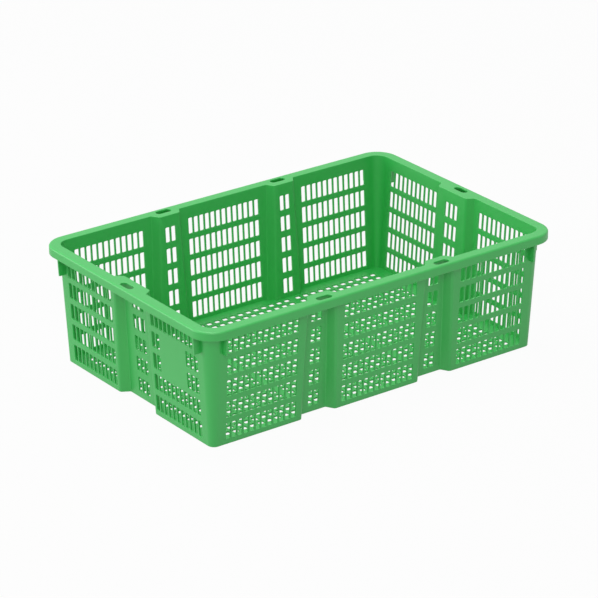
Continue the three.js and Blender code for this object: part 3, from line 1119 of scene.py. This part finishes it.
@dataclass
class Rim:
    """The flat flange with its turned-down skirt, pads over the bays and round-ended slots."""

    moulding: Moulding
    long_bays: Bays
    short_bays: Bays
    skirt_depth: float = 11.0 * MM
    skirt_thickness: float = 2.0 * MM
    edge_radius: float = 2.5 * MM
    fine_radius: float = 0.6 * MM
    skirt_radius: float = 0.95 * MM
    loop_slack: float = 0.1 * MM
    outer_slack: float = 0.3 * MM
    outer_band: float = 4.0 * MM
    corner_steps: int = 16
    slot_length: float = 20.5 * MM
    slot_width: float = 8.5 * MM
    slot_inset: float = 9.7 * MM
    slot_sides: int = 32
    slot_tool_depth: float = 8.8 * MM

    def build(self, name: str) -> Bench:
        """Models the rim.

        Args:
            name: The piece's name.

        Returns:
            The bench that holds the rim.
        """
        bench = self._ring(name)
        for side in Side:
            bays = self._bays(side)
            for centre in bays.centres:
                self._pad(bench, side, bays, centre)
            self._join_side(bench, side)
        self._round_pads(bench)
        bench.thicken(self.moulding.rim_thickness)
        self._skirt(bench)
        self._split(bench)
        bench.subtract(self._slot_tool())
        self._soften(bench)
        bench.smooth()
        return bench

    def _bays(self, side: Side) -> Bays:
        """Gives the bays of a side."""
        return self.long_bays if side in (Side.FRONT, Side.BACK) else self.short_bays

    @staticmethod
    def _outward(side: Side) -> Vector:
        """Gives the direction out of a side."""
        return Vector((round(math.sin(side.value)), -round(math.cos(side.value)), 0))

    @staticmethod
    def _sideways(side: Side) -> Vector:
        """Gives the direction along a side."""
        return Vector((round(math.cos(side.value)), round(math.sin(side.value)), 0))

    def _axis(self, side: Side) -> float:
        """Gives the distance from the middle to a side's corner axes."""
        m = self.moulding
        return m.axis_y if side in (Side.FRONT, Side.BACK) else m.axis_x

    def _ring(self, name: str) -> Bench:
        """Draws the flange's flat ring, with the skirt's strip marked out round its edge.

        Args:
            name: The piece's name.

        Returns:
            The bench that holds the ring.
        """
        m = self.moulding
        bench = Bench.plane(name, (m.length, m.width), (0, 0, m.height))
        bench.pick(Pick.POINT, lambda v: True)
        bench.round_points(m.corner_radius, self.corner_steps)
        bench.pick(Pick.FACE, lambda f: True)
        bpy.ops.mesh.inset(thickness=self.skirt_thickness, use_even_offset=True)
        bpy.ops.mesh.inset(thickness=m.rim_width - self.skirt_thickness, use_even_offset=True)
        bench.pick(Pick.FACE, lambda f: m.offset_of(f.calc_center_median()) < m.rim_inner / 2)
        bench.delete_faces()
        return bench

    def _pad(self, bench: Bench, side: Side, bays: Bays, centre: float) -> None:
        """Draws out a pad over a bay from the ring's inner edge.

        Args:
            bench: The bench that holds the ring.
            side: The side that the bay is on.
            bays: The side's bays.
            centre: The bay's place along the side.
        """
        m = self.moulding
        out, along = self._outward(side), self._sideways(side)
        plan, skin = bays.plan(m.rim_underside), bays.skin(m.rim_underside)
        mouth, face = plan.mouth + skin, plan.face + skin
        inner = self._axis(side) + m.rim_inner
        strip = inner + m.rim_width - self.skirt_thickness

        def in_flange(f: Any) -> bool:
            """Says whether a face belongs to this side's flange, inside the skirt."""
            return inner - NEAR < f.calc_center_median().dot(out) < strip

        for place in (centre - mouth, centre + mouth):
            bench.cut(along, place, in_flange)
        bench.pick(
            Pick.EDGE,
            lambda e: all(
                abs(v.co.dot(out) - inner) < NEAR
                and abs(v.co.dot(along) - centre) < mouth + NEAR
                for v in e.verts
            ),
        )
        bpy.ops.mesh.extrude_edges_move(
            TRANSFORM_OT_translate={"value": -out * plan.depth}
        )
        ratio = face / mouth
        factors = [ratio if value else 1.0 for value in along]
        about = along * centre + out * (inner - plan.depth) + UP * m.height
        bench.stretch(factors, about)

    def _join_side(self, bench: Bench, side: Side) -> None:
        """Makes a side's flange and its pads one face.

        Args:
            bench: The bench that holds the ring.
            side: The side.
        """
        m = self.moulding
        out, along = self._outward(side), self._sideways(side)
        straight = m.axis_x + m.axis_y - self._axis(side)
        strip = self._axis(side) + m.corner_radius - self.skirt_thickness
        bench.pick(
            Pick.FACE,
            lambda f: self._axis(side) < f.calc_center_median().dot(out) < strip
            and abs(f.calc_center_median().dot(along)) < straight,
        )
        bench.merge_faces()

    def _round_pads(self, bench: Bench) -> None:
        """Rounds the pads' corners to the bends of the bays below them.

        Args:
            bench: The bench that holds the ring.
        """
        m = self.moulding
        near = self.long_bays.bend_radius
        tips, roots = [], []
        for side in Side:
            bays = self._bays(side)
            out, along = self._outward(side), self._sideways(side)
            plan, skin = bays.plan(m.rim_underside), bays.skin(m.rim_underside)
            edge = self._axis(side) + m.rim_inner
            for centre in bays.centres:
                for sign in (-1, 1):
                    mouth = along * (centre + sign * (plan.mouth + skin))
                    face = along * (centre + sign * (plan.face + skin))
                    roots.append(mouth + out * edge + UP * m.height)
                    tips.append(face + out * (edge - plan.depth) + UP * m.height)
        for corners, radius in ((roots, near), (tips, near + m.wall)):
            bench.pick(
                Pick.POINT,
                lambda v, corners=corners: any((v.co - c).length < NEAR for c in corners),
            )
            bench.round_points(self.long_bays.bend(radius), self.long_bays.bend_steps)

    def _skirt(self, bench: Bench) -> None:
        """Draws the skirt down from the strip under the flange's edge.

        Args:
            bench: The bench that holds the flange.
        """
        m = self.moulding
        strip = m.corner_radius - self.skirt_thickness
        bench.pick(
            Pick.FACE,
            lambda f: f.normal.z < -MOSTLY
            and m.offset_of(f.calc_center_median()) > strip + NEAR,
        )
        bpy.ops.mesh.extrude_region_move(
            TRANSFORM_OT_translate={"value": (0, 0, m.rim_thickness - self.skirt_depth)}
        )
        for height, offset in ((m.height, strip), (m.rim_underside, m.corner_radius)):
            bench.pick(
                Pick.EDGE,
                lambda e, height=height, offset=offset: all(
                    abs(v.co.z - height) < NEAR
                    and abs(m.offset_of(v.co) - offset) < self.loop_slack
                    for v in e.verts
                ),
            )
            bpy.ops.mesh.dissolve_edges(use_verts=True)

    def _split(self, bench: Bench) -> None:
        """Splits the flange's broad faces across the middle of each side and of each bay.

        Args:
            bench: The bench that holds the rim.
        """
        for side in Side:
            out, along = self._outward(side), self._sideways(side)
            for place in sorted({0.0, *self._bays(side).centres}):
                bench.cut(
                    along,
                    place,
                    lambda f: abs(f.normal.z) > MOSTLY
                    and f.calc_center_median().dot(out) > self._axis(side),
                )

    def _slot_tool(self) -> Bench:
        """Makes the tool that cuts the round-ended slots, one peg over each bay.

        Returns:
            The bench that holds the tool.
        """
        m = self.moulding
        pegs = []
        for side in Side:
            place = self._axis(side) + m.corner_radius - self.slot_inset
            for centre in self._bays(side).centres:
                pegs.append(self._peg(side, (centre, -place, m.height)))
        clear_selection()
        for peg in pegs:
            peg.piece.select_set(True)
        bpy.context.view_layer.objects.active = pegs[0].piece
        bpy.ops.object.join()
        return Bench("rim_slot_tool")

    def _peg(self, side: Side, centre: Sequence[float]) -> Bench:
        """Makes one round-ended peg.

        Args:
            side: The side that it is turned to.
            centre: Its place before the turn, at the front.

        Returns:
            The bench that holds the peg.
        """
        radius = self.slot_width / 2
        peg = Bench.rod("peg", radius, self.slot_tool_depth, centre, self.slot_sides)
        for sign in (-1, 1):
            peg.pick(Pick.POINT, lambda v, sign=sign: sign * (v.co.x - centre[0]) > 0)
            peg.move((sign * (self.slot_length / 2 - radius), 0, 0))
        peg.turn(side)
        return peg

    def _soften(self, bench: Bench) -> None:
        """Rounds the rim's edges.

        Args:
            bench: The bench that holds the rim.
        """
        m = self.moulding
        top, outer = m.height, m.corner_radius

        def at(edge: Any, z: float, low: float, high: float) -> bool:
            """Says whether a sharp edge lies at a height, between two offsets."""
            return edge.calc_face_angle(0.0) > SHARP_EDGE and all(
                abs(v.co.z - z) < NEAR and low < self._reach(v.co) < high for v in edge.verts
            )

        bench.pick(Pick.EDGE, lambda e: at(e, top, outer - self.outer_slack, math.inf))
        bench.round_edges(self.edge_radius, steps=5)
        bench.pick(Pick.EDGE, lambda e: at(e, top, -math.inf, outer - self.outer_band))
        bench.round_edges(self.fine_radius, steps=2)
        bench.pick(Pick.EDGE, lambda e: at(e, top - self.skirt_depth, 0, math.inf))
        bench.round_edges(self.skirt_radius, steps=3)

    def _reach(self, point: Vector) -> float:
        """Gives a point's offset from the corner axes, below 0 over the pads' inner ends.

        Args:
            point: The point.

        Returns:
            The offset.
        """
        m = self.moulding
        inside = max(abs(point.x) - m.axis_x, abs(point.y) - m.axis_y)
        return m.offset_of(point) if inside > 0 else inside


@dataclass
class PerforatedFloor:
    """The floor with its square holes and the wide bar in line with each pair of long bays."""

    moulding: Moulding
    long_bays: Bays
    short_bays: Bays
    underside: float = 0.1 * MM
    bar: float = 3.8 * MM
    wide_bar: float = 9.4 * MM
    rows: int = 24
    middle_holes: int = 14
    end_holes: int = 11
    end_margin: float = 6.3 * MM
    side_margin: float = 3.2 * MM
    hole_rounding: float = 1.1 * MM
    edge_rounding: float = 0.3 * MM
    corner_steps: int = 6

    def build(self, name: str) -> Bench:
        """Models the floor.

        Args:
            name: The piece's name.

        Returns:
            The bench that holds the floor.
        """
        m = self.moulding
        offset = m.wall_offset(0.0) - m.wall / 2
        half_x, half_y = m.axis_x + offset, m.axis_y + offset
        bench = Bench.plane(name, (2 * half_x, 2 * half_y), (0, 0, m.floor_thickness))
        bench.pick(Pick.POINT, lambda v: True)
        bench.round_points(offset, self.corner_steps)
        self._notch(bench, ACROSS, ALONG, half_y, self.long_bays)
        self._notch(bench, ALONG, ACROSS, half_x, self.short_bays)
        columns, rows = self._columns(), self._rows()
        self._open(bench, columns, rows)
        bench.thicken(m.floor_thickness - self.underside)
        self._soften(bench, columns, rows)
        bench.smooth()
        return bench

    def _notch(self, bench: Bench, out: Vector, along: Vector, half: float, bays: Bays) -> None:
        """Cuts a notch into both edges of the plate for each bay.

        Args:
            bench: The bench that holds the plate.
            out: The direction across these edges.
            along: The direction along them.
            half: The edges' distance from the middle.
            bays: The bays over the notches.
        """
        plan = bays.plan(self.moulding.floor_thickness)
        border = half - plan.depth
        for sign in (-1, 1):
            bench.cut(out, sign * border, lambda f: True)

            def in_border(f: Any, sign: int = sign) -> bool:
                """Says whether a face is in the strip along this edge."""
                return sign * f.calc_center_median().dot(out) > border

            for centre in bays.centres:
                for hand in (-1, 1):
                    bench.cut(along, centre + hand * plan.face, in_border)
                bench.pick(
                    Pick.FACE,
                    lambda f: in_border(f)
                    and abs(f.calc_center_median().dot(along) - centre) < plan.face,
                )
                bench.delete_faces()
                for hand in (-1, 1):
                    bench.pick(
                        Pick.POINT,
                        lambda v, hand=hand, sign=sign: sign * v.co.dot(out) > half - NEAR
                        and abs(v.co.dot(along) - centre - hand * plan.face) < NEAR,
                    )
                    bench.move(along * hand * (plan.mouth - plan.face))

    def _field(self, bays: Bays, axis: float, margin: float) -> float:
        """Gives half the width of the field of holes between two sides' bays.

        Args:
            bays: The bays of these sides.
            axis: Distance from the middle to the corner axes, towards these sides.
            margin: Width of plain floor between the bays and the holes.

        Returns:
            Half the width.
        """
        m = self.moulding
        base = m.floor_thickness
        return axis + m.wall_offset(base) - bays.plan(base).depth - m.wall - margin

    def _columns(self) -> list[Span]:
        """Gives the holes' edges along the basket.

        Returns:
            The edges of each column.
        """
        end = self._field(self.short_bays, self.moulding.axis_x, self.end_margin)
        centre = self.long_bays.centres[-1]
        inner, outer = centre - self.wide_bar / 2, centre + self.wide_bar / 2
        return [
            *share_out(-end, end - outer, self.bar, self.end_holes),
            *share_out(-inner, 2 * inner, self.bar, self.middle_holes),
            *share_out(outer, end - outer, self.bar, self.end_holes),
        ]

    def _rows(self) -> list[Span]:
        """Gives the holes' edges across the basket."""
        end = self._field(self.long_bays, self.moulding.axis_y, self.side_margin)
        return share_out(-end, 2 * end, self.bar, self.rows)

    @staticmethod
    def _open(bench: Bench, columns: Spans, rows: Spans) -> None:
        """Opens the holes.

        Args:
            bench: The bench that holds the plate.
            columns: The holes' edges along the basket.
            rows: The holes' edges across it.
        """
        for place in (edge for row in rows for edge in row):
            bench.cut(ACROSS, place, lambda f: True)
        for place in (edge for column in columns for edge in column):
            bench.cut(ALONG, place, lambda f: within(f.calc_center_median().y, rows))
        bench.pick(
            Pick.FACE,
            lambda f: within(f.calc_center_median().x, columns)
            and within(f.calc_center_median().y, rows),
        )
        bench.delete_faces()

    def _soften(self, bench: Bench, columns: Spans, rows: Spans) -> None:
        """Rounds the holes' corners and upper edges.

        Args:
            bench: The bench that holds the floor.
            columns: The holes' edges along the basket.
            rows: The holes' edges across it.
        """
        end_x, end_y = columns[-1][1] + NEAR, rows[-1][1] + NEAR

        def in_field(edge: Any) -> bool:
            """Says whether an edge is within the field of holes."""
            return all(abs(v.co.x) < end_x and abs(v.co.y) < end_y for v in edge.verts)

        def is_corner(edge: Any) -> bool:
            """Says whether an edge runs down through the floor at a hole's corner."""
            run = edge.verts[1].co - edge.verts[0].co
            return in_field(edge) and abs(run.z) > MOSTLY * run.length

        bench.pick(Pick.EDGE, is_corner)
        bench.round_edges(self.hole_rounding, steps=2)
        top = self.moulding.floor_thickness
        bench.pick(
            Pick.EDGE,
            lambda e: in_field(e)
            and all(v.co.z > top - NEAR for v in e.verts)
            and e.calc_face_angle(0.0) > SHARP_EDGE,
        )
        bench.round_edges(self.edge_rounding, steps=1)


@dataclass
class Basket:
    """The whole basket."""

    moulding: Moulding = field(default_factory=Moulding)
    long_post_arm: float = 4.0 * MM
    short_post_arm: float = 7.9 * MM
    long_margin: float = 5.9 * MM
    short_margin: float = 1.6 * MM
    long_panel_columns: tuple[int, ...] = (12, 13, 12)
    short_panel_columns: tuple[int, ...] = (11, 11)
    long_bay_places: tuple[float, ...] = (-83.4 * MM, 83.4 * MM)
    short_bay_places: tuple[float, ...] = (0.0,)
    long_bay_face: float = 25.6 * MM
    short_bay_face: float = 49.4 * MM
    long_bay_columns: int = 2
    short_bay_columns: int = 3
    label_panel: int = 1

    def __post_init__(self) -> None:
        """Lays out the bays and rows that the regions share, and mixes the finishes."""
        m = self.moulding
        self.long_bays = Bays(
            m, self.long_bay_places, self.long_bay_face, self.long_bay_columns
        )
        self.short_bays = Bays(
            m, self.short_bay_places, self.short_bay_face, self.short_bay_columns
        )
        self.rows = SlotRows(m)
        self.wall_plastic = WALL_FINISH.material()
        self.rim_plastic = RIM_FINISH.material()
        self.floor_plastic = FLOOR_FINISH.material()

    def build(self) -> None:
        """Builds and dresses every piece."""
        self._long_walls()
        self._short_walls()
        self._posts()
        self._ribs()
        self._rim()
        self._floor()

    def _long_walls(self) -> None:
        """Builds the front wall and turns a copy of it to the back."""
        m = self.moulding
        wall = SlottedWall(
            moulding=m,
            rows=self.rows,
            bays=self.long_bays,
            axis=m.axis_y,
            straight=m.axis_x,
            post_arm=self.long_post_arm,
            margin=self.long_margin,
            panel_columns=self.long_panel_columns,
        )
        front = wall.build("front_wall")
        back = front.copy("back_wall")
        back.turn(Side.BACK)
        for bench, side in ((front, "front"), (back, "back")):
            panels = [f"{side}_panel_{part}" for part in ("left", "middle", "right")]
            bays = [f"{side}_bay_left", f"{side}_bay_right"]
            dress(bench, self.wall_plastic, [*panels, *bays])

    def _short_walls(self) -> None:
        """Builds the end walls, of which the left one carries the bare label plate."""
        m = self.moulding
        for side, label, extra in (
            (Side.RIGHT, None, []),
            (Side.LEFT, self.label_panel, ["label_plate"]),
        ):
            name = side.name.lower()
            wall = SlottedWall(
                moulding=m,
                rows=self.rows,
                bays=self.short_bays,
                axis=m.axis_x,
                straight=m.axis_y,
                post_arm=self.short_post_arm,
                margin=self.short_margin,
                panel_columns=self.short_panel_columns,
                label_panel=label,
            )
            bench = wall.build(f"{name}_wall")
            bench.turn(side)
            nodes = [f"{name}_panel_front", f"{name}_panel_back", f"{name}_bay", *extra]
            dress(bench, self.wall_plastic, nodes)

    def _posts(self) -> None:
        """Builds the front corner posts and turns copies of them to the back."""
        post = CornerPost(self.moulding, self.long_post_arm, self.short_post_arm)
        for hand, here, there in ((1, "right", "left"), (-1, "left", "right")):
            front = post.build(f"corner_post_front_{here}", hand)
            back = front.copy(f"corner_post_back_{there}")
            back.turn(Side.BACK)
            dress(front, self.wall_plastic, [f"front_{here}_post"])
            dress(back, self.wall_plastic, [f"back_{there}_post"])

    def _ribs(self) -> None:
        """Builds a rib for each kind of side and places copies of it."""
        m = self.moulding
        rib = StackingRib(m)
        sides = (
            (Side.FRONT, Side.BACK, m.axis_y, m.axis_x, ("left", "right")),
            (Side.RIGHT, Side.LEFT, m.axis_x, m.axis_y, ("front", "back")),
        )
        for first, second, axis, straight, ends in sides:
            pattern = rib.build("rib_pattern", axis, straight)
            gap = 2 * (straight - rib.inset)
            for side, order in ((first, ends), (second, ends[::-1])):
                for end, shift in zip(order, (-gap, 0.0)):
                    name = side.name.lower()
                    bench = pattern.copy(f"stacking_rib_{name}_{end}", (shift, 0, 0))
                    bench.turn(side)
                    dress(bench, self.wall_plastic, [f"{name}_rib_{end}"])
            bpy.data.objects.remove(pattern.piece)

    def _rim(self) -> None:
        """Builds the rim."""
        bench = Rim(self.moulding, self.long_bays, self.short_bays).build("rim")
        rails = [f"{side.name.lower()}_rail" for side in Side]
        corners = [
            f"{depth}_{hand}_rim_corner"
            for depth in ("front", "back")
            for hand in ("left", "right")
        ]
        dress(bench, self.rim_plastic, [*rails, *corners])

    def _floor(self) -> None:
        """Builds the floor."""
        floor = PerforatedFloor(self.moulding, self.long_bays, self.short_bays)
        dress(floor.build("floor_grid"), self.floor_plastic, ["floor"])


@dataclass(frozen=True)
class SoftBox:
    """A soft studio lamp that points at a target."""

    name: str
    place: tuple[float, float, float]
    size: tuple[float, float]
    watts: float
    target: tuple[float, float, float] = (0.0, 0.0, 0.07)

    def hang(self) -> None:
        """Adds the lamp to the scene."""
        lamp = bpy.data.lights.new(self.name, "AREA")
        lamp.shape = "RECTANGLE"
        lamp.size, lamp.size_y = self.size
        lamp.energy = self.watts
        holder = bpy.data.objects.new(self.name, lamp)
        bpy.context.scene.collection.objects.link(holder)
        holder.location = self.place
        aim = Vector(self.target) - Vector(self.place)
        holder.rotation_euler = aim.to_track_quat("-Z", "Y").to_euler()


@dataclass(frozen=True)
class Studio:
    """The pale floor, the light and the camera."""

    floor_size: float = 40.0
    floor_drop: float = 0.2 * MM
    floor_whiteness: float = 0.96
    floor_bounce: tuple[float, float, float] = (0.5, 0.5, 0.5)
    sky: tuple[float, float, float] = (1.0, 1.0, 1.0)
    sky_strength: float = 0.34
    camera_place: tuple[float, float, float] = (-2.06975, -2.78677, 1.59435)
    camera_target: tuple[float, float, float] = (-0.0022, -0.0012, 0.0694)
    camera_roll: float = math.radians(-0.114)
    lens: float = 195.65
    sensor: float = 36.0
    sight: float = 100.0
    lamps: tuple[SoftBox, ...] = (
        SoftBox("left_softbox", (-2.2, 1.6, 0.7), (2.4, 1.2), 29.0),
        SoftBox("front_softbox", (-2.2, -2.9, 2.4), (2.4, 2.0), 54.0),
        SoftBox("top_softbox", (-0.3, 0.6, 3.2), (2.5, 2.5), 64.0),
    )

    def build(self) -> None:
        """Sets up the studio."""
        self._ground()
        self._world()
        self._camera()
        for lamp in self.lamps:
            lamp.hang()
        bpy.context.scene.view_settings.view_transform = "Standard"

    def _ground(self) -> None:
        """Lays the pale floor, white to the camera apart from a faint shadow."""
        bench = Bench.plane(
            "studio_floor", (self.floor_size, self.floor_size), (0, 0, -self.floor_drop)
        )
        paint = bpy.data.materials.new("studio_white")
        paint.use_nodes = True
        graph = Graph(paint.node_tree)
        matt = graph.add("ShaderNodeBsdfDiffuse", None, {"Color": (*self.floor_bounce, 1)})
        white = graph.add("ShaderNodeEmission", None, {"Color": (1, 1, 1, 1), "Strength": 1.0})
        mixed = graph.add(
            "ShaderNodeMixShader",
            None,
            {
                0: self._seen(graph) * self.floor_whiteness,
                1: matt.outputs["BSDF"],
                2: white.outputs["Emission"],
            },
        )
        graph.add("ShaderNodeOutputMaterial", None, {"Surface": mixed.outputs["Shader"]})
        bench.piece.data.materials.append(paint)

    def _world(self) -> None:
        """Makes the world an even soft light that the camera sees as white."""
        world = bpy.data.worlds.new("studio_sky")
        world.use_nodes = True
        bpy.context.scene.world = world
        graph = Graph(world.node_tree)
        light = graph.add(
            "ShaderNodeBackground", None, {"Color": (*self.sky, 1), "Strength": self.sky_strength}
        )
        white = graph.add("ShaderNodeBackground", None, {"Color": (1, 1, 1, 1), "Strength": 1.0})
        mixed = graph.add(
            "ShaderNodeMixShader",
            None,
            {
                0: self._seen(graph),
                1: light.outputs["Background"],
                2: white.outputs["Background"],
            },
        )
        graph.add("ShaderNodeOutputWorld", None, {"Surface": mixed.outputs["Shader"]})

    @staticmethod
    def _seen(graph: Graph) -> Value:
        """Marks what the camera sees, straight, in a glossy surface or through a clear one.

        Args:
            graph: The graph that asks.

        Returns:
            1 for such rays and 0 for the others.
        """
        path = graph.add("ShaderNodeLightPath")
        straight = graph.out(path, "Is Camera Ray")
        mirrored = graph.out(path, "Is Glossy Ray")
        return straight + mirrored + graph.out(path, "Is Transmission Ray")

    def _camera(self) -> None:
        """Places the camera at the viewing angle."""
        lens = bpy.data.cameras.new("camera")
        lens.lens = self.lens
        lens.sensor_width = self.sensor
        lens.clip_end = self.sight
        holder = bpy.data.objects.new("camera", lens)
        bpy.context.scene.collection.objects.link(holder)
        holder.location = self.camera_place
        aim = Vector(self.camera_target) - Vector(self.camera_place)
        pointing = aim.to_track_quat("-Z", "Y")
        holder.rotation_euler = pointing.to_euler()
        holder.rotation_euler.rotate_axis("Z", self.camera_roll)
        bpy.context.scene.camera = holder


def main() -> None:
    """Builds the basket and the studio."""
    logging.basicConfig(level=logging.INFO, format="%(name)s: %(message)s")
    Basket().build()
    Studio().build()


if __name__ == "__main__":
    main()
